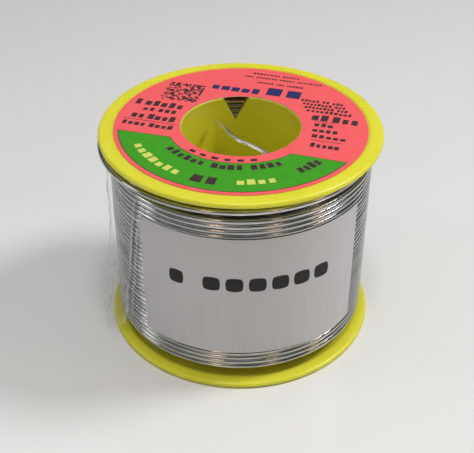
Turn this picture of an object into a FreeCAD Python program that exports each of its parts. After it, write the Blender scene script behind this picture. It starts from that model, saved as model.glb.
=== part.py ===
import FreeCAD, Part
import math
import os

os.makedirs("parts", exist_ok=True)

Vector = FreeCAD.Vector

# Spool. All sizes are in millimetres and degrees. The spool stands on Z = 0
# with its axis on Z. Azimuth 0 is +X, and -90 is the front.
SPOOL_HEIGHT = 39.8
FLANGE_RADIUS = 25.0
WEB_THICKNESS = 0.8       # flange between the hub and the rim
RIM_STEP = 0.15           # the rim stands proud of the web on both sides
RIM_WIDTH = 2.4
RIM_OUTER_ROUND = 0.55
RIM_INNER_ROUND = 0.15
BORE_RADIUS = 10.5
HUB_WALL = 1.5
MOUTH_ROUND = 0.3

# The two halves meet at mid height: a spigot on the lower half seats in the
# upper half's socket, and both have a lead-in at the bore.
SPIGOT_WALL = 0.7
SPIGOT_LENGTH = 3.0
SPIGOT_CLEARANCE = 0.05
SPIGOT_END_GAP = 0.1
LEAD_IN = 0.5

# V notches in the top of the hub wall, which let the start of the wire in
NOTCH_AZIMUTHS = (95.0, -45.0)
NOTCH_WIDTH = 4.9
NOTCH_DEPTH = 5.25
NOTCH_REACH = 0.6         # how far the notch cuts past the hub into the flange
WIRE_NOTCH = 1            # the notch that the wire comes through

# Wire
WIRE_DIAMETER = 1.0
FLUX_DIAMETER = 0.4
WINDING_INSET = 1.6       # the outer turns stop this far inside the flange rim
LOWER_MARGIN = 2.0        # outer turns to the lower flange's rim
UPPER_MARGIN = 1.3        # outer turns to the upper flange's rim
SHORTENING = 3.0          # the layers get shorter towards the outer one over this depth
LOOPS = 23.5              # in quarter loops
ENTRY_AZIMUTH = 55.0      # where the outer layer climbs out of the inner ones
ENTRY_BEND = 1.5
ENTRY_CLEARANCE = 0.1
LOOSE_AZIMUTH = 187.0     # the last loop stands out most here, on the left
LOOSE_SPAN = 100.0        # and comes back to the others this far round
LOOSE_BULGE = 1.9
LOOSE_LIFT = 0.7          # climb of the last loop off the one before
LOOSE_RISE = 0.8          # and its further rise where it stands out most

# Start end of the wire, in the bore
NOTCH_CLEARANCE = 0.05
TIP_AZIMUTH = 117.6
TIP_INSET = 0.9           # tip centre to the bore wall
TAIL_BENDS = ((-2.15, 3.59), (-0.15, 0.94), (1.64, -0.27), (4.25, -2.81))
TAIL_TURN_IN = 2.2        # last bend to the bore wall
TAIL_ROUNDING = 0.45      # share of the shorter run that a bend takes

# Flange label
LABEL_THICKNESS = 0.12
LABEL_RIM_GAP = 0.3
LABEL_BORE_GAP = 0.4

# Label on the winding
SIDE_LABEL_WIDTH = 42.0
SIDE_LABEL_HEIGHT = 24.5
SIDE_LABEL_BOTTOM = 7.4
SIDE_LABEL_AZIMUTH = -84.0

# Clear tape on the left. It sticks from one azimuth to the next, and from there
# to its saw-cut end it stands off and flares out over the lower rim.
TAPE_THICKNESS = 0.1
TAPE_START = -118.0
TAPE_LOOSE = -150.0
TAPE_END = -178.0
TAPE_TOP_GAP = 4.9        # tape edge to the spool's top
TAPE_BOTTOM = 3.4
TAPE_SECTIONS = 5
TOP_STAND_OFF = 0.3
WAIST_HEIGHT = 20.0
WAIST_STAND_OFF = 0.5
LOW_HEIGHT = 4.0
LOW_STAND_OFF = 2.1
HEM_DROP = 2.6
HEM_STAND_OFF = 3.9
TOOTH_PITCH = 1.6
TOOTH_DEPTH = 0.7

# Worked out from the sizes above
RIM_HEIGHT = WEB_THICKNESS + 2 * RIM_STEP
OUTER_ROUND = min(RIM_OUTER_ROUND, RIM_HEIGHT / 2)
INNER_ROUND = min(RIM_INNER_ROUND, RIM_STEP)
HUB_RADIUS = BORE_RADIUS + HUB_WALL
RIM_INSIDE = FLANGE_RADIUS - RIM_WIDTH
TOP_FACE = SPOOL_HEIGHT - RIM_STEP
CHANNEL_BOTTOM = RIM_STEP + WEB_THICKNESS
CHANNEL_TOP = SPOOL_HEIGHT - CHANNEL_BOTTOM
SEAM = SPOOL_HEIGHT / 2
SPIGOT_RADIUS = BORE_RADIUS + SPIGOT_WALL
SOCKET_RADIUS = SPIGOT_RADIUS + SPIGOT_CLEARANCE
SPIGOT_TIP = SEAM + SPIGOT_LENGTH
SOCKET_FLOOR = SPIGOT_TIP + SPIGOT_END_GAP

WIRE_RADIUS = WIRE_DIAMETER / 2
WINDING_RADIUS = FLANGE_RADIUS - WINDING_INSET
TURN_RADIUS = WINDING_RADIUS - WIRE_RADIUS
CORE_RADIUS = WINDING_RADIUS - WIRE_DIAMETER
FIRST_TURN = RIM_HEIGHT + LOWER_MARGIN + WIRE_RADIUS
LAST_TURN = SPOOL_HEIGHT - RIM_HEIGHT - UPPER_MARGIN - WIRE_RADIUS
PITCH = (LAST_TURN - LOOSE_LIFT - FIRST_TURN) / LOOPS

SAME_POINT = 0.0001       # points closer than this are one

TAPE_RADIUS = WINDING_RADIUS + LABEL_THICKNESS
TAPE_TOP = SPOOL_HEIGHT - TAPE_TOP_GAP


def polar(radius, azimuth, height=0.0):
    """Point at a radius and an azimuth in degrees."""
    angle = math.radians(azimuth)
    return Vector(radius * math.cos(angle), radius * math.sin(angle), height)


def arc_by_tangents(start, corner, end):
    """Arc from start to end whose tangents meet at corner."""
    half_turn = (corner - start).getAngle(end - corner) / 2
    weight = math.cos(half_turn)
    middle = (start + corner * (2 * weight) + end) * (1 / (2 + 2 * weight))
    return Part.Arc(start, middle, end).toShape()


def rounded_face(corners):
    """Face in the XZ plane from (radius, height, rounding) corners."""
    edges = []
    first = None
    previous = None
    count = len(corners)
    for i in range(count):
        before = Vector(corners[i - 1][0], 0, corners[i - 1][1])
        point = Vector(corners[i][0], 0, corners[i][1])
        after = Vector(corners[(i + 1) % count][0], 0, corners[(i + 1) % count][1])
        to_before = (before - point).normalize()
        to_after = (after - point).normalize()
        half_corner = to_before.getAngle(to_after) / 2
        setback = corners[i][2] / math.tan(half_corner)
        start = point + to_before * setback
        end = point + to_after * setback
        if previous is None:
            first = start
        elif previous.distanceToPoint(start) > SAME_POINT:
            edges.append(Part.LineSegment(previous, start).toShape())
        if setback > 0:
            edges.append(arc_by_tangents(start, point, end))
        previous = end
    if previous.distanceToPoint(first) > SAME_POINT:
        edges.append(Part.LineSegment(previous, first).toShape())
    return Part.Face(Part.Wire(edges))


def turned(corners, azimuth=0.0, angle=360.0):
    """Solid of revolution about Z, from an azimuth through an angle."""
    face = rounded_face(corners)
    face.rotate(Vector(0, 0, 0), Vector(0, 0, 1), azimuth)
    return face.revolve(Vector(0, 0, 0), Vector(0, 0, 1), angle)


def tube(path, start, direction, radius):
    """Round wire along a path."""
    ring = Part.Wire(Part.Circle(start, direction, radius).toShape())
    return path.makePipeShell([ring], True, False)


def lower_half_spool():
    """Lower flange, foot ring and lower hub with the spigot."""
    return turned([
        (BORE_RADIUS, 0, 0),
        (HUB_RADIUS, 0, 0),
        (HUB_RADIUS, RIM_STEP, 0),
        (RIM_INSIDE, RIM_STEP, 0),
        (RIM_INSIDE, 0, 0),
        (FLANGE_RADIUS, 0, OUTER_ROUND),
        (FLANGE_RADIUS, RIM_HEIGHT, OUTER_ROUND),
        (RIM_INSIDE, RIM_HEIGHT, INNER_ROUND),
        (RIM_INSIDE, CHANNEL_BOTTOM, 0),
        (HUB_RADIUS, CHANNEL_BOTTOM, 0),
        (HUB_RADIUS, SEAM, 0),
        (SPIGOT_RADIUS, SEAM, 0),
        (SPIGOT_RADIUS, SPIGOT_TIP, 0),
        (BORE_RADIUS + LEAD_IN, SPIGOT_TIP, 0),
        (BORE_RADIUS, SPIGOT_TIP - LEAD_IN, 0),
    ])


def notch(azimuth):
    """Wedge that cuts one V notch, pointing down, through the hub wall."""
    spare = NOTCH_DEPTH / 2
    half_width = NOTCH_WIDTH / 2 * (1 + spare / NOTCH_DEPTH)
    inside = BORE_RADIUS - HUB_WALL
    corners = [
        Vector(inside, 0, TOP_FACE - NOTCH_DEPTH),
        Vector(inside, half_width, TOP_FACE + spare),
        Vector(inside, -half_width, TOP_FACE + spare),
    ]
    face = Part.Face(Part.makePolygon(corners + corners[:1]))
    wedge = face.extrude(Vector(HUB_RADIUS + NOTCH_REACH - inside, 0, 0))
    wedge.rotate(Vector(0, 0, 0), Vector(0, 0, 1), azimuth)
    return wedge


def upper_half_spool():
    """Upper flange, notched upper hub and the socket."""
    half = turned([
        (HUB_RADIUS, SEAM, 0),
        (HUB_RADIUS, CHANNEL_TOP, 0),
        (RIM_INSIDE, CHANNEL_TOP, 0),
        (RIM_INSIDE, SPOOL_HEIGHT - RIM_HEIGHT, INNER_ROUND),
        (FLANGE_RADIUS, SPOOL_HEIGHT - RIM_HEIGHT, OUTER_ROUND),
        (FLANGE_RADIUS, SPOOL_HEIGHT, OUTER_ROUND),
        (RIM_INSIDE, SPOOL_HEIGHT, 0),
        (RIM_INSIDE, TOP_FACE, 0),
        (BORE_RADIUS, TOP_FACE, MOUTH_ROUND),
        (BORE_RADIUS, SOCKET_FLOOR + LEAD_IN, 0),
        (BORE_RADIUS + LEAD_IN, SOCKET_FLOOR, 0),
        (SOCKET_RADIUS, SOCKET_FLOOR, 0),
        (SOCKET_RADIUS, SEAM, 0),
    ])
    for azimuth in NOTCH_AZIMUTHS:
        half = half.cut(notch(azimuth))
    return half


def winding_angle(loop_share):
    """Azimuth in degrees after so many loops of the outer layer."""
    return ENTRY_AZIMUTH + 360 * loop_share


def loose_share(loop_share):
    """0 where the layer lies tight, 1 where the last loop stands out most."""
    peak = LOOPS - 1 + ((LOOSE_AZIMUTH - winding_angle(LOOPS)) % 360) / 360
    away = abs(loop_share - peak) * 360 / LOOSE_SPAN
    return math.cos(math.pi / 2 * min(away, 1.0)) ** 2


def settled_lift(loop_share):
    """Climb of the last loop, which reaches the flange in its first quarter."""
    into_last = loop_share - (LOOPS - 1)
    if into_last <= 0:
        return 0.0
    share = min(into_last / 0.25, 1.0)
    return LOOSE_LIFT * share * share * (3 - 2 * share)


def winding_point(loop_share):
    """Centre of the wire after so many loops of the outer layer."""
    loose = loose_share(loop_share)
    tight_height = FIRST_TURN + PITCH * loop_share
    height = tight_height + settled_lift(loop_share) + LOOSE_RISE * loose
    return polar(TURN_RADIUS + LOOSE_BULGE * loose, winding_angle(loop_share), height)


def winding_tangent(loop_share):
    """Direction of the wire there."""
    step = 0.0001
    ahead = winding_point(loop_share + step)
    return (ahead - winding_point(loop_share - step)).normalize()


def biarc(start, start_tangent, end, end_tangent):
    """Two arcs that join two points with their tangents."""
    across = end - start
    both = start_tangent + end_tangent
    a = 2 * (1 - start_tangent.dot(end_tangent))
    b = 2 * across.dot(both)
    c = -across.dot(across)
    reach = (-b + math.sqrt(b * b - 4 * a * c)) / (2 * a)
    first_corner = start + start_tangent * reach
    second_corner = end - end_tangent * reach
    joint = (first_corner + second_corner) * 0.5
    return [
        arc_by_tangents(start, first_corner, joint),
        arc_by_tangents(joint, second_corner, end),
    ]


def entry_frame():
    """Where the outer layer starts, with its outward and forward directions."""
    start = winding_point(0)
    forward = winding_tangent(0)
    outward = polar(1, ENTRY_AZIMUTH)
    outward = (outward - forward * outward.dot(forward)).normalize()
    return start, outward, forward


def wire_outer_layer():
    """Outer layer of turns as one tube, with its loose last loop."""
    start, outward, forward = entry_frame()
    centre = start - outward * ENTRY_BEND
    bend_start = centre - forward * ENTRY_BEND
    bend_middle = centre + (outward - forward) * (ENTRY_BEND / math.sqrt(2))
    inner_end = bend_start - outward * WIRE_DIAMETER
    edges = [
        Part.LineSegment(inner_end, bend_start).toShape(),
        Part.Arc(bend_start, bend_middle, start).toShape(),
    ]
    quarters = round(4 * LOOPS)
    for quarter in range(quarters):
        here = quarter / 4
        there = (quarter + 1) / 4
        edges += biarc(
            winding_point(here), winding_tangent(here),
            winding_point(there), winding_tangent(there),
        )
    last = winding_point(LOOPS)
    cut_end = last + winding_tangent(LOOPS) * WIRE_DIAMETER
    edges.append(Part.LineSegment(last, cut_end).toShape())
    return tube(Part.Wire(edges), inner_end, outward, WIRE_RADIUS)


def winding_gap():
    """Least gap between one loop of the outer layer and the next."""
    samples = 72
    count = round(samples * LOOPS) + 1
    points = [winding_point(i / samples) for i in range(count)]
    least = PITCH
    for i in range(len(points)):
        for j in range(i + samples // 2, min(i + 3 * samples // 2, len(points))):
            least = min(least, points[i].distanceToPoint(points[j]))
    return least - WIRE_DIAMETER


def wire_inner_layers():
    """Inner layers as one ring, with the pocket where the wire climbs out."""
    shoulder = CORE_RADIUS - SHORTENING
    ring = turned([
        (HUB_RADIUS, CHANNEL_BOTTOM, 0),
        (shoulder, CHANNEL_BOTTOM, 0),
        (CORE_RADIUS, FIRST_TURN - WIRE_RADIUS, 0),
        (CORE_RADIUS, LAST_TURN + WIRE_RADIUS, 0),
        (shoulder, CHANNEL_TOP, 0),
        (HUB_RADIUS, CHANNEL_TOP, 0),
    ])
    start, outward, forward = entry_frame()
    sideways = outward.cross(forward)
    room = WIRE_RADIUS + ENTRY_CLEARANCE
    corner = (
        start
        - outward * (ENTRY_BEND + WIRE_DIAMETER)
        - forward * (ENTRY_BEND + room)
        - sideways * room
    )
    along = forward * (ENTRY_BEND + room)
    across = sideways * (2 * room)
    floor = Part.Face(Part.makePolygon([
        corner, corner + along, corner + along + across, corner + across, corner,
    ]))
    pocket = floor.extrude(outward * (ENTRY_BEND + 2 * WIRE_DIAMETER))
    return ring.cut(pocket)


def tail_route():
    """Corners of the start end of the wire, from its tip to the inner layers."""
    half_angle = math.atan(NOTCH_WIDTH / 2 / NOTCH_DEPTH)
    rest = (WIRE_RADIUS + NOTCH_CLEARANCE) / math.sin(half_angle)
    height = TOP_FACE - NOTCH_DEPTH + rest
    azimuth = NOTCH_AZIMUTHS[WIRE_NOTCH]
    route = [polar(BORE_RADIUS - TIP_INSET, TIP_AZIMUTH, height)]
    for x, y in TAIL_BENDS:
        route.append(Vector(x, y, height))
    route.append(polar(BORE_RADIUS - TAIL_TURN_IN, azimuth, height))
    route.append(polar(HUB_RADIUS, azimuth, height))
    return route


def rounded_path(route):
    """Straight runs joined by tangent arcs, and the least arc radius."""
    edges = []
    here = route[0]
    least = None
    for i in range(1, len(route) - 1):
        corner = route[i]
        back = route[i - 1] - corner
        ahead = route[i + 1] - corner
        setback = TAIL_ROUNDING * min(back.Length, ahead.Length)
        start = corner + back * (setback / back.Length)
        end = corner + ahead * (setback / ahead.Length)
        half_turn = (corner - start).getAngle(end - corner) / 2
        radius = setback / math.tan(half_turn)
        least = radius if least is None else min(least, radius)
        edges.append(Part.LineSegment(here, start).toShape())
        edges.append(arc_by_tangents(start, corner, end))
        here = end
    edges.append(Part.LineSegment(here, route[-1]).toShape())
    return Part.Wire(edges), least


def tail_tube(diameter):
    """Round solid along the start end's path."""
    route = tail_route()
    path, least = rounded_path(route)
    return tube(path, route[0], route[1] - route[0], diameter / 2)


def wire_start_end():
    """Start end of the wire, round its flux core."""
    return tail_tube(WIRE_DIAMETER).cut(tail_tube(FLUX_DIAMETER))


def flux_core():
    """Flux inside the start end, which shows at the cut tip."""
    return tail_tube(FLUX_DIAMETER)


def flange_label():
    """Ring label in the upper flange's recess."""
    inside = BORE_RADIUS + LABEL_BORE_GAP
    outside = RIM_INSIDE - LABEL_RIM_GAP
    return turned([
        (inside, TOP_FACE, 0),
        (outside, TOP_FACE, 0),
        (outside, TOP_FACE + LABEL_THICKNESS, 0),
        (inside, TOP_FACE + LABEL_THICKNESS, 0),
    ])


def winding_label():
    """Paper label on the front of the winding."""
    span = math.degrees(SIDE_LABEL_WIDTH / WINDING_RADIUS)
    top = SIDE_LABEL_BOTTOM + SIDE_LABEL_HEIGHT
    outside = WINDING_RADIUS + LABEL_THICKNESS
    return turned([
        (WINDING_RADIUS, SIDE_LABEL_BOTTOM, 0),
        (outside, SIDE_LABEL_BOTTOM, 0),
        (outside, top, 0),
        (WINDING_RADIUS, top, 0),
    ], SIDE_LABEL_AZIMUTH - span / 2, span)


def tape_section(azimuth, share):
    """Cross-section of the tape, with its share of the full stand-off."""
    hem = TAPE_BOTTOM - HEM_DROP * share
    line = [
        (TAPE_RADIUS + TOP_STAND_OFF * share, TAPE_TOP),
        (TAPE_RADIUS + WAIST_STAND_OFF * share, WAIST_HEIGHT),
        (TAPE_RADIUS + LOW_STAND_OFF * share, LOW_HEIGHT),
        (TAPE_RADIUS + HEM_STAND_OFF * share, hem),
    ]
    inside = [polar(radius, azimuth, height) for radius, height in line]
    outside = [polar(radius + TAPE_THICKNESS, azimuth, height) for radius, height in line]
    corners = inside + outside[::-1]
    return Part.makePolygon(corners + corners[:1])


def saw_tooth(tooth):
    """Bite out of the tape's end edge."""
    start = TAPE_RADIUS - TAPE_THICKNESS
    reach = TOP_STAND_OFF + WAIST_STAND_OFF + 3 * TAPE_THICKNESS
    low = WAIST_HEIGHT + tooth * TOOTH_PITCH
    corners = [
        Vector(start, -TOOTH_DEPTH, low),
        Vector(start, TOOTH_DEPTH, low + TOOTH_PITCH / 2),
        Vector(start, -TOOTH_DEPTH, low + TOOTH_PITCH),
    ]
    bite = Part.Face(Part.makePolygon(corners + corners[:1])).extrude(Vector(reach, 0, 0))
    bite.rotate(Vector(0, 0, 0), Vector(0, 0, 1), TAPE_END)
    return bite


def clear_tape():
    """Tape, stuck on the front left, with its loose end towards the back."""
    outside = TAPE_RADIUS + TAPE_THICKNESS
    stuck = turned([
        (TAPE_RADIUS, TAPE_BOTTOM, 0),
        (outside, TAPE_BOTTOM, 0),
        (outside, TAPE_TOP, 0),
        (TAPE_RADIUS, TAPE_TOP, 0),
    ], TAPE_LOOSE, TAPE_START - TAPE_LOOSE)
    sections = []
    for i in range(TAPE_SECTIONS):
        share = i / (TAPE_SECTIONS - 1)
        azimuth = TAPE_LOOSE + (TAPE_END - TAPE_LOOSE) * share
        sections.append(tape_section(azimuth, share))
    loose = Part.makeLoft(sections, True, True)
    teeth = int((TAPE_TOP - WAIST_HEIGHT) / TOOTH_PITCH)
    for tooth in range(teeth):
        loose = loose.cut(saw_tooth(tooth))
    return stuck.fuse(loose).removeSplitter()


NODES = {
    "lower_half_spool": lower_half_spool,
    "upper_half_spool": upper_half_spool,
    "wire_inner_layers": wire_inner_layers,
    "wire_outer_layer": wire_outer_layer,
    "wire_start_end": wire_start_end,
    "flux_core": flux_core,
    "flange_label": flange_label,
    "winding_label": winding_label,
    "clear_tape": clear_tape,
}

for name, make in NODES.items():
    shape = make()
    shape.exportStep(os.path.join("parts", name + ".step"))
    print(name, "solids", len(shape.Solids), "valid", shape.isValid(),
          "volume", round(shape.Volume, 3))

print("least gap between loops", round(winding_gap(), 3))
print("least bend radius of the start end", round(rounded_path(tail_route())[1], 3))
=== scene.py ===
import bpy
import bmesh
import math
import random
from mathutils import Euler, Matrix, Vector, noise


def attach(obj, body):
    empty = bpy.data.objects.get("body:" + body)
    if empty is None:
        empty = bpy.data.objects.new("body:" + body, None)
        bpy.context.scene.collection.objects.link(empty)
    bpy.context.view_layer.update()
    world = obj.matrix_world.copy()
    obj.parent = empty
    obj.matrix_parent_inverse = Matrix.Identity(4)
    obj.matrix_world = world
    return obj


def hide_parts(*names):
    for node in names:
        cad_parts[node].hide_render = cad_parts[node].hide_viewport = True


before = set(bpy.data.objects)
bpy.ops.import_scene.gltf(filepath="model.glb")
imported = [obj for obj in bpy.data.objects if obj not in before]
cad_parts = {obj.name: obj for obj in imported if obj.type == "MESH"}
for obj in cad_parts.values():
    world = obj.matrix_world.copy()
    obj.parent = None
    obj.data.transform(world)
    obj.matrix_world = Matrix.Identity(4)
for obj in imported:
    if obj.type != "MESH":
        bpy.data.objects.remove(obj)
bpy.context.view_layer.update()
mm = 0.001  # the pieces' sizes are in millimetres, their angles in degrees
turnJoint = 0.002 * mm  # half turns of wire are joined where their points are this close
meshJoint = 0.0005 * mm
print("frame loaded")


def polar(radius, azimuth, height):
    angle = math.radians(azimuth)
    return Vector((radius * math.cos(angle), radius * math.sin(angle), height))


def smoothStep(value, low, high):
    share = min(max((value - low) / (high - low), 0.0), 1.0)
    return share * share * (3 - 2 * share)


def uneven(*spot):  # smooth noise from -1 to 1
    return noise.noise(Vector(spot))


def rippled(grains, azimuth, height, seed):
    return uneven(azimuth * grains[0], height * grains[1], seed)


def surface(name, colour, roughness, metallic=0.0):
    material = bpy.data.materials.new(name)
    material.use_nodes = True
    shader = material.node_tree.nodes["Principled BSDF"]
    shader.inputs["Base Color"].default_value = (*colour, 1)
    shader.inputs["Roughness"].default_value = roughness
    shader.inputs["Metallic"].default_value = metallic
    return material, shader


def place(owner, kind="Object"):
    return owner.node_tree.nodes.new("ShaderNodeTexCoord").outputs[kind]


def heightOf(owner, source):
    split = owner.node_tree.nodes.new("ShaderNodeSeparateXYZ")
    owner.node_tree.links.new(source, split.inputs["Vector"])
    return split.outputs["Z"]


def grain(material, scale, stretch=(1, 1, 1), detail=3.0):
    nodes, links = material.node_tree.nodes, material.node_tree.links
    mapping = nodes.new("ShaderNodeMapping")
    mapping.inputs["Scale"].default_value = stretch
    texture = nodes.new("ShaderNodeTexNoise")
    texture.inputs["Scale"].default_value = scale
    texture.inputs["Detail"].default_value = detail
    links.new(place(material), mapping.inputs["Vector"])
    links.new(mapping.outputs["Vector"], texture.inputs["Vector"])
    return texture.outputs["Fac"]


def spread(owner, source, low, high, lowValue, highValue):
    ranged = owner.node_tree.nodes.new("ShaderNodeMapRange")
    ranged.inputs["From Min"].default_value = low
    ranged.inputs["From Max"].default_value = high
    ranged.inputs["To Min"].default_value = lowValue
    ranged.inputs["To Max"].default_value = highValue
    owner.node_tree.links.new(source, ranged.inputs["Value"])
    return ranged.outputs["Result"]


def together(owner, operation, first, second):
    both = owner.node_tree.nodes.new("ShaderNodeMath")
    both.operation = operation
    both.use_clamp = True
    owner.node_tree.links.new(first, both.inputs[0])
    owner.node_tree.links.new(second, both.inputs[1])
    return both.outputs["Value"]


def shades(material, source, first, second):
    blend = material.node_tree.nodes.new("ShaderNodeMix")
    blend.data_type = "RGBA"
    blend.inputs["A"].default_value = (*first, 1)
    blend.inputs["B"].default_value = (*second, 1)
    material.node_tree.links.new(source, blend.inputs["Factor"])
    return blend.outputs["Result"]


def relief(material, shader, source, depth):
    bump = material.node_tree.nodes.new("ShaderNodeBump")
    bump.inputs["Distance"].default_value = depth * mm
    bump.inputs["Strength"].default_value = 1.0
    material.node_tree.links.new(source, bump.inputs["Height"])
    material.node_tree.links.new(bump.outputs["Normal"], shader.inputs["Normal"])


def spoolPlastic():
    material, shader = surface("yellowStyrene", (0.74, 0.71, 0.055), 0.34)
    links = material.node_tree.links
    cloud = spread(material, grain(material, 60, detail=2.0), 0.35, 0.65, 0, 1)
    links.new(shades(material, cloud, (0.71, 0.685, 0.036), (0.78, 0.745, 0.050)),
              shader.inputs["Base Color"])
    wear = grain(material, 420, (1, 1, 0.3), 6.0)
    links.new(spread(material, wear, 0.3, 0.7, 0.26, 0.42), shader.inputs["Roughness"])
    relief(material, shader, grain(material, 900, detail=2.0), 0.012)
    shader.inputs["Subsurface Weight"].default_value = 0.4  # light comes through thin walls
    shader.inputs["Subsurface Radius"].default_value = (1.0, 0.9, 0.12)
    shader.inputs["Subsurface Scale"].default_value = 0.003
    return material


def solderWire(name, dull, bright, roughness):
    material, shader = surface(name, bright, roughness, 1.0)
    links = material.node_tree.links
    drawn = grain(material, 150, (1, 1, 7))  # dull and bright stretches along the turns
    links.new(shades(material, spread(material, drawn, 0.35, 0.7, 0, 1), dull, bright),
              shader.inputs["Base Color"])
    links.new(spread(material, drawn, 0.3, 0.7, 0.7 * roughness, 1.3 * roughness),
              shader.inputs["Roughness"])
    relief(material, shader, drawn, 0.003)
    return material


def fluxRosin():
    material, shader = surface("amberRosin", (0.45, 0.27, 0.09), 0.45)
    relief(material, shader, grain(material, 2500), 0.01)
    return material


def printed(name, first, second, roughness=0.42):
    material, shader = surface(name, first, roughness)
    fibres = grain(material, 700, detail=5.0)
    material.node_tree.links.new(
        shades(material, spread(material, fibres, 0.3, 0.7, 0, 1), first, second),
        shader.inputs["Base Color"])
    relief(material, shader, fibres, 0.006)
    return material


def whitePaper():
    material, shader = surface("whitePaper", (0.67, 0.67, 0.68), 0.6)
    streaks = spread(material, grain(material, 260, (3.2, 3.2, 0.22)), 0.46, 0.68, 0, 1)
    low = spread(material, heightOf(material, place(material)), 0.0195, 0.0175, 0, 1)
    streaksBelow = together(material, "MULTIPLY", streaks, low)  # faint and upright
    material.node_tree.links.new(
        shades(material, streaksBelow, (0.66, 0.66, 0.675), (0.635, 0.635, 0.65)),
        shader.inputs["Base Color"])
    relief(material, shader, grain(material, 1400, detail=5.0), 0.006)
    return material


def clearFilm(name, clearest, haziest, edgeShare):
    material, shader = surface(name, (0.93, 0.94, 0.93), 0.16)
    streaks = spread(material, grain(material, 150, (1.6, 1.6, 0.35), 4.0), 0.45, 0.75,
                     clearest, haziest)
    edgeOn = material.node_tree.nodes.new("ShaderNodeLayerWeight")
    edgeOn.inputs["Blend"].default_value = 0.25
    sheen = spread(material, edgeOn.outputs["Facing"], 0, 1, 0, edgeShare)
    material.node_tree.links.new(together(material, "ADD", streaks, sheen),
                                 shader.inputs["Alpha"])
    relief(material, shader, grain(material, 330, (1, 1, 0.3)), 0.04)
    return material


plastic = spoolPlastic()
# one solder in two copies: the wound turns' copy is darker, partly for tarnish and partly as painted
# shade for the dark room the turns reflect; the start end's copy is lighter, as painted light where it
# catches the lamps
paintedShadeSolder = solderWire("woundSolderPaintedShade", (0.36, 0.365, 0.35), (0.64, 0.64, 0.62), 0.16)
startSolderPaintedLight = solderWire("startSolderPaintedLight", (0.76, 0.76, 0.74), (0.86, 0.86, 0.84), 0.27)
rosin = fluxRosin()
stuckFilm = clearFilm("stuckFilm", 0.01, 0.04, 0.02)
looseFilm = clearFilm("looseFilm", 0.025, 0.13, 0.10)
creasedFilm = clearFilm("creasedFilm", 0.18, 0.66, 0.12)  # whitened where it was bent or torn
paper = whitePaper()
pinkPrint = printed("pinkPrint", (0.88, 0.110, 0.120), (0.92, 0.128, 0.138))
greenPrint = printed("greenPrint", (0.040, 0.31, 0.008), (0.050, 0.35, 0.012))
darkPrint = printed("darkPrint", (0.030, 0.012, 0.016), (0.045, 0.02, 0.025), 0.6)
navyPrint = printed("navyPrint", (0.018, 0.022, 0.10), (0.025, 0.03, 0.13))
limePrint = printed("limePrint", (0.62, 0.66, 0.12), (0.68, 0.72, 0.16))
blackPrint = printed("blackPrint", (0.008, 0.008, 0.009), (0.014, 0.014, 0.015), 0.7)
paperEdge = printed("paperEdge", (0.78, 0.74, 0.70), (0.86, 0.83, 0.80), 0.7)
print("materials made")


def finished(name, bm, materials, node, sharpFrom):
    bmesh.ops.remove_doubles(bm, verts=bm.verts, dist=meshJoint)
    bmesh.ops.recalc_face_normals(bm, faces=bm.faces)
    mesh = bpy.data.meshes.new(name)
    bm.to_mesh(mesh)
    bm.free()
    for material in materials:
        mesh.materials.append(material)
    mesh.shade_smooth()
    mesh.set_sharp_from_angle(angle=math.radians(sharpFrom))
    piece = bpy.data.objects.new(name, mesh)
    bpy.context.scene.collection.objects.link(piece)
    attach(piece, "root")
    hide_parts(node)
    return piece


def thicken(bm, faces, height, materialIndex):
    raised = bmesh.ops.extrude_face_region(bm, geom=list(faces))["geom"]
    verts = [item for item in raised if isinstance(item, bmesh.types.BMVert)]
    bmesh.ops.translate(bm, verts=verts, vec=(0, 0, height))
    for vert in verts:
        for face in vert.link_faces:
            face.material_index = materialIndex


def facesAt(verts):
    return {face for vert in verts if vert.is_valid for face in vert.link_faces}


def spinProfile(bm, profile, steps):  # a closed outline of radius and height, turned all round
    corners = [bm.verts.new((radius * mm, 0, height * mm)) for radius, height in profile]
    rim = [bm.edges.new((corners[i - 1], corners[i])) for i in range(len(corners))]
    bmesh.ops.spin(bm, geom=corners + rim, cent=(0, 0, 0), axis=(0, 0, 1),
                   angle=math.radians(360), steps=steps, use_merge=True)


for node, material in {
    "lower_half_spool": plastic,
    "upper_half_spool": plastic,
    "wire_start_end": startSolderPaintedLight,
    "flux_core": rosin,
}.items():
    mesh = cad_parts[node].data
    mesh.materials.clear()
    mesh.materials.append(material)
print("spool halves dressed")


outerTurns = {
    "wire": 1.0,
    "sides": 12,
    "radius": 22.9,
    "firstTurn": 3.15,      # height of the lowest turn
    "turns": 33.0,
    "pitch": 1.011,
    "start": 55.0,
    "stepsPerTurn": 84,
    "bulge": 1.9,           # how far the last turn stands off
    "rise": 0.8,            # and how far it rises there
    "bulgeAt": 187.0,
    "bulgeSpan": 100.0,
    "lift": 0.75,           # the last turn lies on the one below
    "liftOver": 0.25,       # of a turn
    "wander": 0.05,
    "upAndDown": (2.1, 0.9, 0.0),    # grain round the winding, grain from turn to turn, seed
    "inAndOut": (1.6, 0.6, 40.0),
}


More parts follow.
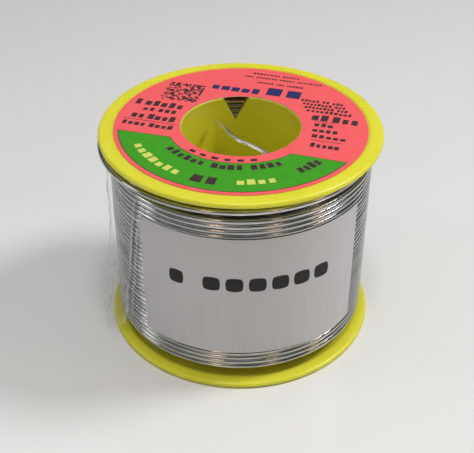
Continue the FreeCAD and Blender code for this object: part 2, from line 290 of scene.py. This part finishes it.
def woundWire(bm, size, radius, low, turns, start=0.0):
    turnLayer = bm.verts.layers.float.get("turn") or bm.verts.layers.float.new("turn")
    sides, pitch, stepsPerTurn = size["sides"], size["pitch"], size["stepsPerTurn"]
    ring = bmesh.ops.create_circle(
        bm, segments=sides, radius=size["wire"] / 2 * mm,
        matrix=Matrix.Rotation(math.radians(start), 4, "Z")
        @ Matrix.Translation((radius * mm, 0, low * mm))
        @ Matrix.Rotation(math.pi / 2, 4, "X"))["verts"]
    edges = list({edge for vert in ring for edge in vert.link_edges})
    before = len(bm.verts) - sides
    bmesh.ops.spin(bm, geom=ring + edges, cent=(0, 0, 0), axis=(0, 0, 1),
                   dvec=(0, 0, pitch / stepsPerTurn * mm), angle=math.pi,
                   steps=stepsPerTurn // 2)
    bm.verts.ensure_lookup_table()
    half = bm.verts[before:]
    for count, vert in enumerate(half):
        vert[turnLayer] = (count // sides) / stepsPerTurn
    faces = list(facesAt(half))
    for _ in range(round(turns * 2) - 1):  # each half turn carries on from the last
        copied = bmesh.ops.duplicate(bm, geom=half + faces)["geom"]
        half = [item for item in copied if isinstance(item, bmesh.types.BMVert)]
        faces = [item for item in copied if isinstance(item, bmesh.types.BMFace)]
        bmesh.ops.rotate(bm, verts=half, cent=(0, 0, 0), matrix=Matrix.Rotation(math.pi, 3, "Z"))
        bmesh.ops.translate(bm, verts=half, vec=(0, 0, pitch / 2 * mm))
        for vert in half:
            vert[turnLayer] += 0.5
    return turnLayer


def joinTurns(bm):
    bmesh.ops.remove_doubles(bm, verts=bm.verts, dist=turnJoint)
    bmesh.ops.holes_fill(bm, edges=[edge for edge in bm.edges if edge.is_boundary], sides=0)


def wandering(size, out, turn, way):
    around, perTurn, seed = size[way]
    return size["wander"] * uneven(out.x * around, out.y * around, seed + turn * perTurn)


def outerWire(size):
    bm = bmesh.new()
    turnLayer = woundWire(bm, size, size["radius"], size["firstTurn"], size["turns"], size["start"])
    joinTurns(bm)
    end = size["start"] + 360 * size["turns"]
    lastTurn = size["turns"] - 1
    peak = lastTurn + ((size["bulgeAt"] - end) % 360) / 360
    for vert in bm.verts:
        turn = vert[turnLayer]
        out = Vector((vert.co.x, vert.co.y, 0)).normalized()
        away = min(abs(turn - peak) * 360 / size["bulgeSpan"], 1.0)
        loose = math.cos(math.pi / 2 * away) ** 2
        settle = size["lift"] * smoothStep(turn, lastTurn, lastTurn + size["liftOver"])
        vert.co += out * (size["bulge"] * loose + wandering(size, out, turn, "inAndOut")) * mm
        vert.co.z += (settle + size["rise"] * loose + wandering(size, out, turn, "upAndDown")) * mm
    finished("outerTurns", bm, [paintedShadeSolder], "wire_outer_layer", 60)


outerWire(outerTurns)
print("outer turns wound")


innerTurns = {
    "wire": 1.0,
    "sides": 8,
    "pitch": 1.003,
    "stepsPerTurn": 60,
    "hubLayer": (12.55, 1.5, 36.5),    # radius, height of the first turn, turns
    "underLayer": (22.03, 3.1, 33.5),
    "tiers": 3,                        # shorter layers that show at both ends
    "tierTurns": 2.0,
    "tierStep": 0.87,
    "tierDrop": 0.5,
    "pack": ((12.9, 1.0), (18.9, 1.0), (21.7, 2.9), (21.7, 36.9), (18.9, 38.8), (12.9, 38.8)),
    "packSteps": 96,
}


def innerWire(size):
    bm = bmesh.new()
    layers = [size["hubLayer"], size["underLayer"]]
    radius, low, turns = size["underLayer"]
    top = low + turns * size["pitch"]
    for tier in range(1, size["tiers"] + 1):
        inward, drop = radius - tier * size["tierStep"], tier * size["tierDrop"]
        layers.append((inward, low - drop, size["tierTurns"]))
        layers.append((inward, top + drop - size["tierTurns"], size["tierTurns"]))
    for layer in layers:
        woundWire(bm, size, *layer)
    joinTurns(bm)
    spinProfile(bm, size["pack"], size["packSteps"])
    finished("innerTurns", bm, [paintedShadeSolder], "wire_inner_layers", 60)


innerWire(innerTurns)
print("inner turns wound")


inks = [pinkPrint, greenPrint, darkPrint, navyPrint, limePrint, paperEdge]
ringLabel = {
    "bottom": 39.65,
    "gap": 0.01,
    "thickness": 0.11,
    "inside": 10.65,
    "outside": 22.3,
    "steps": 240,
    "nick": 0.12,             # unevenness of the punched hole
    "nickScale": 0.9,
    "ink": 0.015,             # the print's depth, and how many depths it rises:
    "lineRise": 2.0,
    "greenRise": 2.8,
    "rowRise": 2.0,
    "arcRise": 3.0,
    "greenOutside": 21.4,
    "greenInside": 13.0,
    "greenSpan": (-186.0, -26.0),
    "greenSides": (((-21.34, -2.10), (-12.42, -4.41)), ((8.46, -9.80), (17.47, -12.55))),
    "greenLine": 0.13,
    "arcStep": 2.0,           # degrees
    "printTurn": 164.3,       # the print's right-hand direction
    "blockWidth": (0.6, 0.82),           # shares of the room for each block
    "blockHeight": (0.76, 0.8, 1.0),     # shares of the row
    "groupGap": 0.45,
    "rows": (                 # from, to, middle, height, blocks in each group, ink
        (11.6, 21.0, -3.2, 1.9, (5, 1), darkPrint),
        (12.2, 18.7, -0.9, 1.2, (3, 2), darkPrint),
        (11.5, 19.9, 1.7, 1.8, (4, 2), darkPrint),
        (11.0, 20.6, 4.6, 1.3, (4, 4), darkPrint),
        (11.0, 20.8, 3.3, 0.14, (), darkPrint),
        (-8.2, -0.8, -13.9, 3.6, (2,), navyPrint),
        (-0.2, 9.4, -12.8, 2.0, (5,), navyPrint),
        (-7.5, 1.5, -16.6, 0.6, (6, 3, 6), darkPrint),
        (-10.6, 4.5, -18.6, 0.6, (8, 5, 7, 3), darkPrint),
        (-6.0, 3.2, -20.1, 0.6, (5, 8), darkPrint),
        (-16.0, -8.0, -12.1, 0.9, (3, 2, 5), darkPrint),
        (-16.6, -8.6, -10.9, 0.9, (3, 8), darkPrint),
        (-17.2, -9.2, -9.7, 0.9, (3, 8), darkPrint),
        (-18.2, -9.8, -8.5, 0.9, (10,), darkPrint),
        (-19.9, -11.2, -6.3, 2.1, (3, 2), darkPrint),
        (-15.8, -12.2, -3.8, 1.3, (3,), darkPrint),
        (-16.0, -12.0, -4.9, 0.14, (), darkPrint),
        (-17.0, -12.3, -1.8, 1.1, (4,), darkPrint),
        (-18.8, -12.6, 0.2, 1.1, (5,), darkPrint),
        (-18.4, -12.8, 1.6, 0.14, (), darkPrint),
        (-18.2, -13.0, 3.2, 1.4, (5,), darkPrint),
    ),
    "arcRows": (              # radius, from, to, height, blocks in each group, gap, ink
        (11.95, 60, 120, 0.9, (1, 1, 1, 1, 1, 1), 3.0, darkPrint),
        (14.3, 48, 134, 1.5, (6, 4, 4), 4.0, darkPrint),
        (18.7, 36, 74, 1.5, (7,), 0.0, limePrint),
        (18.6, 80, 95, 2.6, (2,), 0.0, darkPrint),
        (18.6, 103, 124, 1.5, (4,), 0.0, limePrint),
        (17.6, 137, 153, 1.9, (4,), 0.0, darkPrint),
    ),
    "square": (13.7, -8.8, 6.9),   # middle and side of the random pattern
    "squareCells": 17,
    "squareEmpty": 0.48,
    "squareSeed": 7,
}


def paperTop(size):
    return (size["bottom"] + size["thickness"] - size["ink"]) * mm  # print is sunk by its depth


def raiseInk(bm, size, faces, rise, ink):
    thicken(bm, faces, size[rise] * size["ink"] * mm, inks.index(ink))


def connected(faces):
    island, grown = set(faces), set(faces)
    while grown:
        grown = {other for face in grown for edge in face.edges for other in edge.link_faces} - island
        island |= grown
    return island


def arcStrip(bm, size, inside, outside, start, end):
    ends = [bm.verts.new(polar(radius * mm, start, paperTop(size))) for radius in (inside, outside)]
    edge = bm.edges.new(ends)
    bmesh.ops.spin(bm, geom=ends + [edge], cent=(0, 0, 0), axis=(0, 0, 1),
                   angle=math.radians(end - start),
                   steps=max(1, round((end - start) / size["arcStep"])))
    return connected(facesAt(ends))


def greenField(bm, size, grow, rise, ink):
    island = arcStrip(bm, size, size["greenInside"] - grow, size["greenOutside"] + grow,
                      *size["greenSpan"])
    for near, far in size["greenSides"]:  # cut straight at both ends
        along = Vector(far) - Vector(near)
        outward = Vector((-along.y, along.x, 0)).normalized()
        if outward.y < 0:
            outward.negate()
        middle = ((Vector(near) + Vector(far)) / 2).to_3d()
        edges = {edge for face in island for edge in face.edges}
        verts = {vert for face in island for vert in face.verts}
        cut = bmesh.ops.bisect_plane(
            bm, geom=[*island, *edges, *verts], plane_co=(middle + outward * grow) * mm,
            plane_no=outward, clear_outer=True)
        island = {item for item in cut["geom"] if isinstance(item, bmesh.types.BMFace)}
    raiseInk(bm, size, island, rise, ink)


def printedGrid(bm, size, x, y, width, height, cells=1):
    matrix = Matrix.Rotation(math.radians(size["printTurn"]), 4, "Z") \
        @ Matrix.Translation((x * mm, y * mm, paperTop(size))) \
        @ Matrix.Diagonal((width * mm, height * mm, 1, 1))
    return bmesh.ops.create_grid(bm, x_segments=cells, y_segments=cells, size=0.5,
                                 matrix=matrix)["verts"]


def bar(bm, size, start, end, y, height, ink):
    verts = printedGrid(bm, size, (start + end) / 2, y, end - start, height)
    raiseInk(bm, size, facesAt(verts), "rowRise", ink)


def arcBar(bm, size, start, end, radius, height, ink):
    turn = size["printTurn"]
    strip = arcStrip(bm, size, radius - height / 2, radius + height / 2, start + turn, end + turn)
    raiseInk(bm, size, strip, "arcRise", ink)


def groups(start, end, counts, gap):
    space = (end - start) - gap * (len(counts) - 1)
    here = start
    for count in counts:
        width = space * count / sum(counts)
        yield here, here + width
        here += width + gap


def row(bm, size, shape, seed, start, end, level, height, counts, gap, ink):
    if not counts:  # a plain line
        shape(bm, size, start, end, level, height, ink)
        return
    chance = random.Random(round(seed))
    for count, (left, right) in zip(counts, groups(start, end, counts, gap)):
        step = (right - left) / count
        for i in range(count):
            width = step * chance.uniform(*size["blockWidth"])
            middle = left + step * (i + 0.5)
            share = chance.choice(size["blockHeight"])
            shape(bm, size, middle - width / 2, middle + width / 2,
                  level + height * (1 - share) / 2, height * share, ink)


def randomSquare(bm, size):
    x, y, side = size["square"]
    chance = random.Random(size["squareSeed"])
    verts = printedGrid(bm, size, x, y, side, side, size["squareCells"])
    faces = sorted(facesAt(verts),
                   key=lambda face: tuple(round(value, 6) for value in face.calc_center_median()))
    empty = [face for face in faces if chance.random() < size["squareEmpty"]]
    bmesh.ops.delete(bm, geom=empty, context="FACES")
    raiseInk(bm, size, facesAt(verts), "rowRise", darkPrint)


def printedRing(size):
    bm = bmesh.new()
    foot, top = size["bottom"] + size["gap"], size["bottom"] + size["thickness"]
    spinProfile(bm, ((size["inside"], foot), (size["outside"], foot), (size["outside"], top),
                     (size["inside"], top)), size["steps"])
    middle = (size["inside"] + size["outside"]) / 2 * mm
    for vert in bm.verts:
        out = Vector((vert.co.x, vert.co.y, 0))
        if out.length < middle:
            rough = uneven(*(out / mm * size["nickScale"]))
            vert.co += out.normalized() * size["nick"] * rough * mm
    for face in bm.faces:  # the wall of the hole shows bare paper
        if abs(face.normal.z) < 0.5 and face.calc_center_median().xy.length < middle:
            face.material_index = inks.index(paperEdge)
    greenField(bm, size, size["greenLine"], "lineRise", darkPrint)
    greenField(bm, size, 0.0, "greenRise", greenPrint)
    for start, end, y, height, counts, ink in size["rows"]:
        row(bm, size, bar, 100 * start + 10 * y, start, end, y, height, counts, size["groupGap"], ink)
    for radius, start, end, height, counts, gap, ink in size["arcRows"]:
        row(bm, size, arcBar, 100 * radius + start, start, end, radius, height, counts, gap, ink)
    randomSquare(bm, size)
    finished("ringLabel", bm, inks, "flange_label", 30)


printedRing(ringLabel)
print("ring label printed")


labelLayers = [paper, blackPrint]
sideLabel = {
    "radius": 23.42,
    "thickness": 0.10,
    "azimuth": -84.0,
    "width": 42.0,
    "height": 24.5,
    "bottom": 7.4,
    "ripple": 0.03,
    "rippleGrain": (0.12, 0.08),   # per degree round, per millimetre up
    "ink": 0.02,
    "columns": 120,
    "rows": 24,
    "blockFoot": 21.2,
    "blockTop": 24.0,
    "firstBlock": (-120.4, -113.8),
    "otherBlocks": (-105.4, -50.6),
    "blocks": 6,
    "blockGap": 2.2,        # degrees
    "blockRound": 0.16,
    "blockCells": 8,
}


def wrap(verts, size):
    for vert in verts:
        azimuth = size["azimuth"] + math.degrees(vert.co.x / (size["radius"] * mm))
        ripple = size["ripple"] * (1 + rippled(size["rippleGrain"], azimuth, vert.co.y / mm, 3))
        vert.co = polar((size["radius"] + ripple) * mm + vert.co.z, azimuth, vert.co.y)


def flatPanel(bm, sides, levels, base, height, cells, material, rounding=0.0):
    width, rise = sides[1] - sides[0], levels[1] - levels[0]
    verts = bmesh.ops.create_grid(bm, x_segments=cells[0], y_segments=cells[1], size=0.5)["verts"]
    for vert in verts:
        pull = 1 - rounding * (4 * vert.co.x * vert.co.y) ** 2  # draws the corners in
        vert.co = Vector((sum(sides) / 2 + vert.co.x * pull * width,
                          sum(levels) / 2 + vert.co.y * pull * rise, base)) * mm
    thicken(bm, facesAt(verts), height * mm, labelLayers.index(material))


def paperLabel(size):
    bm = bmesh.new()
    flatPanel(bm, (-size["width"] / 2, size["width"] / 2),
              (size["bottom"], size["bottom"] + size["height"]),
              0, size["thickness"], (size["columns"], size["rows"]), paper)
    spots = [size["firstBlock"]]
    spots += list(groups(*size["otherBlocks"], (1,) * size["blocks"], size["blockGap"]))
    for spot in spots:
        sides = [math.radians(edge - size["azimuth"]) * size["radius"] for edge in spot]
        flatPanel(bm, sides, (size["blockFoot"], size["blockTop"]), size["thickness"] - size["ink"],
                  2 * size["ink"], (size["blockCells"],) * 2, blackPrint, size["blockRound"])
    wrap(bm.verts, size)
    finished("sideLabel", bm, labelLayers, "winding_label", 30)


paperLabel(sideLabel)
print("side label wrapped")


films = [stuckFilm, looseFilm, creasedFilm]
clearTape = {
    "radius": 23.53,
    "thickness": 0.05,
    "start": -118.0,
    "looseAbove": -148.0,   # where it leaves the winding at its upper edge
    "looseBelow": -147.0,
    "looseOver": 16.0,      # degrees in which the lower edge comes away
    "end": -178.0,
    "top": 34.9,
    "bottom": 3.4,
    "hemDrop": 2.5,
    "hemNoise": 0.5,
    "hemGrain": (0.25, 0.0),       # per degree round, per millimetre up
    "standOff": ((34.9, 0.2), (20.0, 0.45), (4.0, 2.1), (0.8, 3.5)),   # height, distance
    "flutter": 0.35,
    "flutterGrain": (0.14, 0.10),
    "curl": 0.36,
    "curlGrain": (0.0, 0.35),
    "curlFrom": 0.93,       # share of its length
    "toothPitch": 1.6,
    "toothDepth": 1.1,
    "torn": 0.97,           # share of its length where the whitened saw cut starts
    "creases": (            # azimuth and height of the head, then of the foot
        (-137.5, 35.0, -153.5, 4.0),
        (-133.5, 35.0, -147.5, 6.0),
        (-160.0, 16.0, -166.0, 1.0),
    ),
    "creaseWidth": 0.32,
    "creaseWander": 1.2,    # degrees
    "creaseGrain": 0.22,
    "creaseHeight": 0.3,
    "creaseWhite": 0.3,     # how much of a crease is whitened
    "columns": 150,
    "rows": 110,
}


def standOff(size, height):
    steps = size["standOff"]
    for (above, outer), (below, further) in zip(steps, steps[1:]):
        if height >= below:
            share = (above - height) / (above - below)
            return outer + (further - outer) * min(max(share, 0.0), 1.0)
    return steps[-1][1]


def foldLine(crease, height):
    headAzimuth, head, footAzimuth, foot = crease
    share = (head - height) / (head - foot)
    return share, headAzimuth + (footAzimuth - headAzimuth) * share


def creased(size, azimuth, height):
    nearest = 0.0
    for crease in size["creases"]:
        share, line = foldLine(crease, height)
        if 0 <= share <= 1:
            line += size["creaseWander"] * uneven(crease[0], height * size["creaseGrain"], 0)
            away = abs(math.radians(azimuth - line)) * size["radius"] / size["creaseWidth"]
            nearest = max(nearest, 1 - away)
    return nearest


def filmPlace(size, point):
    along, up = point.x + 0.5, point.y + 0.5
    return along, up, size["start"] + (size["end"] - size["start"]) * along


def filmTape(size):
    bm = bmesh.new()
    bmesh.ops.create_grid(bm, x_segments=size["columns"], y_segments=size["rows"], size=0.5)
    for face in bm.faces:
        along, up, azimuth = filmPlace(size, face.calc_center_median())
        height = size["bottom"] + (size["top"] - size["bottom"]) * up
        film = stuckFilm
        if azimuth < foldLine(size["creases"][0], height)[1]:
            film = looseFilm
        if creased(size, azimuth, height) > size["creaseWhite"] or along > size["torn"]:
            film = creasedFilm
        face.material_index = films.index(film)
    for vert in bm.verts:
        along, up, azimuth = filmPlace(size, vert.co)
        hem = smoothStep(-azimuth, -size["looseBelow"], size["looseOver"] - size["looseBelow"])
        ragged = size["hemNoise"] * rippled(size["hemGrain"], azimuth, 0, 5)
        bottom = size["bottom"] - (size["hemDrop"] - ragged) * hem
        height = bottom + (size["top"] - bottom) * up
        above = smoothStep(-azimuth, -size["looseAbove"], -size["end"])
        loose = hem + (above - hem) * smoothStep(height, 0.0, size["top"])
        bend = creased(size, azimuth, height)
        tooth = abs((height / size["toothPitch"]) % 1.0 - 0.5) * 2
        atEnd = smoothStep(along, size["curlFrom"], 1.0)
        azimuth += math.degrees(size["toothDepth"] * tooth / size["radius"]) * atEnd
        flutter = size["flutter"] * rippled(size["flutterGrain"], azimuth, height, 9)
        curl = size["curl"] * (1 + rippled(size["curlGrain"], azimuth, height, 2))
        radius = size["radius"] + (standOff(size, height) + flutter) * loose + curl * atEnd
        vert.co = polar((radius + size["creaseHeight"] * bend) * mm, azimuth, height * mm)
    tape = finished("clearTape", bm, films, "clear_tape", 80)
    wall = tape.modifiers.new("filmThickness", "SOLIDIFY")
    wall.thickness = size["thickness"] * mm
    wall.offset = 0


filmTape(clearTape)
print("tape laid")


def seenRays(owner):
    path = owner.node_tree.nodes.new("ShaderNodeLightPath")
    seen = path.outputs["Is Camera Ray"]
    for kind in ("Is Glossy Ray", "Is Transmission Ray"):
        seen = together(owner, "ADD", seen, path.outputs[kind])
    return seen


paleFloor = {              # metres
    "half": 3.0,
    "colour": (0.80, 0.805, 0.80),
    "roughness": 0.2,
    "backdrop": (0.70, 0.705, 0.70),
    "fade": (0.28, 0.75),  # where the floor turns into the backdrop
}


def layFloor(size):
    floor = bpy.data.objects.new("floor", bpy.data.meshes.new("floor"))
    bm = bmesh.new()
    bmesh.ops.create_grid(bm, x_segments=1, y_segments=1, size=size["half"])
    bm.to_mesh(floor.data)
    bm.free()
    material, shader = surface("paleFloor", size["colour"], size["roughness"])
    shader.inputs["Specular IOR Level"].default_value = 1.0
    nodes, links = material.node_tree.nodes, material.node_tree.links
    away = nodes.new("ShaderNodeVectorMath")
    away.operation = "LENGTH"
    links.new(place(material), away.inputs[0])
    backdrop = nodes.new("ShaderNodeEmission")
    backdrop.inputs["Color"].default_value = (*size["backdrop"], 1)
    faded = nodes.new("ShaderNodeMixShader")
    far = spread(material, away.outputs["Value"], *size["fade"], 0, 1)
    links.new(together(material, "MULTIPLY", far, seenRays(material)), faded.inputs["Fac"])
    links.new(shader.outputs["BSDF"], faded.inputs[1])
    links.new(backdrop.outputs["Emission"], faded.inputs[2])
    links.new(faded.outputs["Shader"], nodes["Material Output"].inputs["Surface"])
    floor.data.materials.append(material)
    bpy.context.scene.collection.objects.link(floor)


lamps = {  # metres and watts
    "overhead": {"at": (0.01, -0.12, 0.58), "size": 0.14, "power": 1.0, "colour": (1.0, 0.99, 0.97)},
    "sideLamp": {"at": (0.40, 0.07, 0.53), "size": 0.17, "power": 2.05, "colour": (1.0, 1.0, 1.0)},
    "leftWindow": {"at": (-0.50, -0.05, 0.24), "size": 0.16, "power": 0.22, "colour": (0.97, 0.99, 1.0)},
    "warmLeft": {"at": (-0.11, -0.30, 0.24), "size": 0.06, "power": 0.065, "colour": (1.0, 0.66, 0.42)},
    "warmRight": {"at": (0.34, -0.12, 0.28), "size": 0.06, "power": 0.065, "colour": (1.0, 0.66, 0.42)},
    "warmMiddle": {"at": (0.17, -0.30, 0.26), "size": 0.06, "power": 0.05, "colour": (1.0, 0.66, 0.42)},
}
aim = Vector((0, 0, 0.02))


def hangLamp(name, lamp):
    light = bpy.data.lights.new(name, "AREA")
    light.shape = "DISK"
    light.size = lamp["size"]
    light.energy = lamp["power"]
    light.color = lamp["colour"]
    holder = bpy.data.objects.new(name, light)
    holder.location = lamp["at"]
    holder.rotation_euler = (aim - Vector(lamp["at"])).to_track_quat("-Z", "Y").to_euler()
    bpy.context.scene.collection.objects.link(holder)


room = {
    "dark": 0.05,
    "bright": 0.66,
    "towards": (-0.12, 0.08, 0.99),   # bright overhead only
    "cap": (0.62, 0.90),
    "horizon": (0.04, 0.14),          # a pale band behind the floor
    "pale": 0.70,
    "colour": (0.98, 0.99, 1.0),
}


def lightRoom(size):
    world = bpy.data.worlds.new("room")
    bpy.context.scene.world = world
    world.use_nodes = True
    nodes, links = world.node_tree.nodes, world.node_tree.links
    facing = nodes.new("ShaderNodeVectorMath")
    facing.operation = "DOT_PRODUCT"
    facing.inputs[1].default_value = size["towards"]
    links.new(place(world, "Generated"), facing.inputs[0])
    cap = spread(world, facing.outputs["Value"], *size["cap"], size["dark"], size["bright"])
    horizon = spread(world, heightOf(world, place(world, "Generated")), *size["horizon"],
                     size["pale"], 0)
    pale = together(world, "MULTIPLY", horizon, seenRays(world))
    links.new(together(world, "MAXIMUM", cap, pale), nodes["Background"].inputs["Strength"])
    nodes["Background"].inputs["Color"].default_value = (*size["colour"], 1)


view = {
    "lens": 70.05,
    "sensor": 36.0,
    "nearest": 0.01,
    "at": (0.0, -0.14193, 0.11956),
    "turned": (54.350, -0.164, 0.370),
}


def placeCamera(size):
    camera = bpy.data.objects.new("camera", bpy.data.cameras.new("camera"))
    camera.data.lens = size["lens"]
    camera.data.sensor_width = size["sensor"]
    camera.data.clip_start = size["nearest"]
    camera.location = size["at"]
    camera.rotation_euler = Euler([math.radians(angle) for angle in size["turned"]])
    bpy.context.scene.collection.objects.link(camera)
    bpy.context.scene.camera = camera


layFloor(paleFloor)
for name, lamp in lamps.items():
    hangLamp(name, lamp)
lightRoom(room)
placeCamera(view)
bpy.context.scene.view_settings.view_transform = "Standard"
print("stage set")
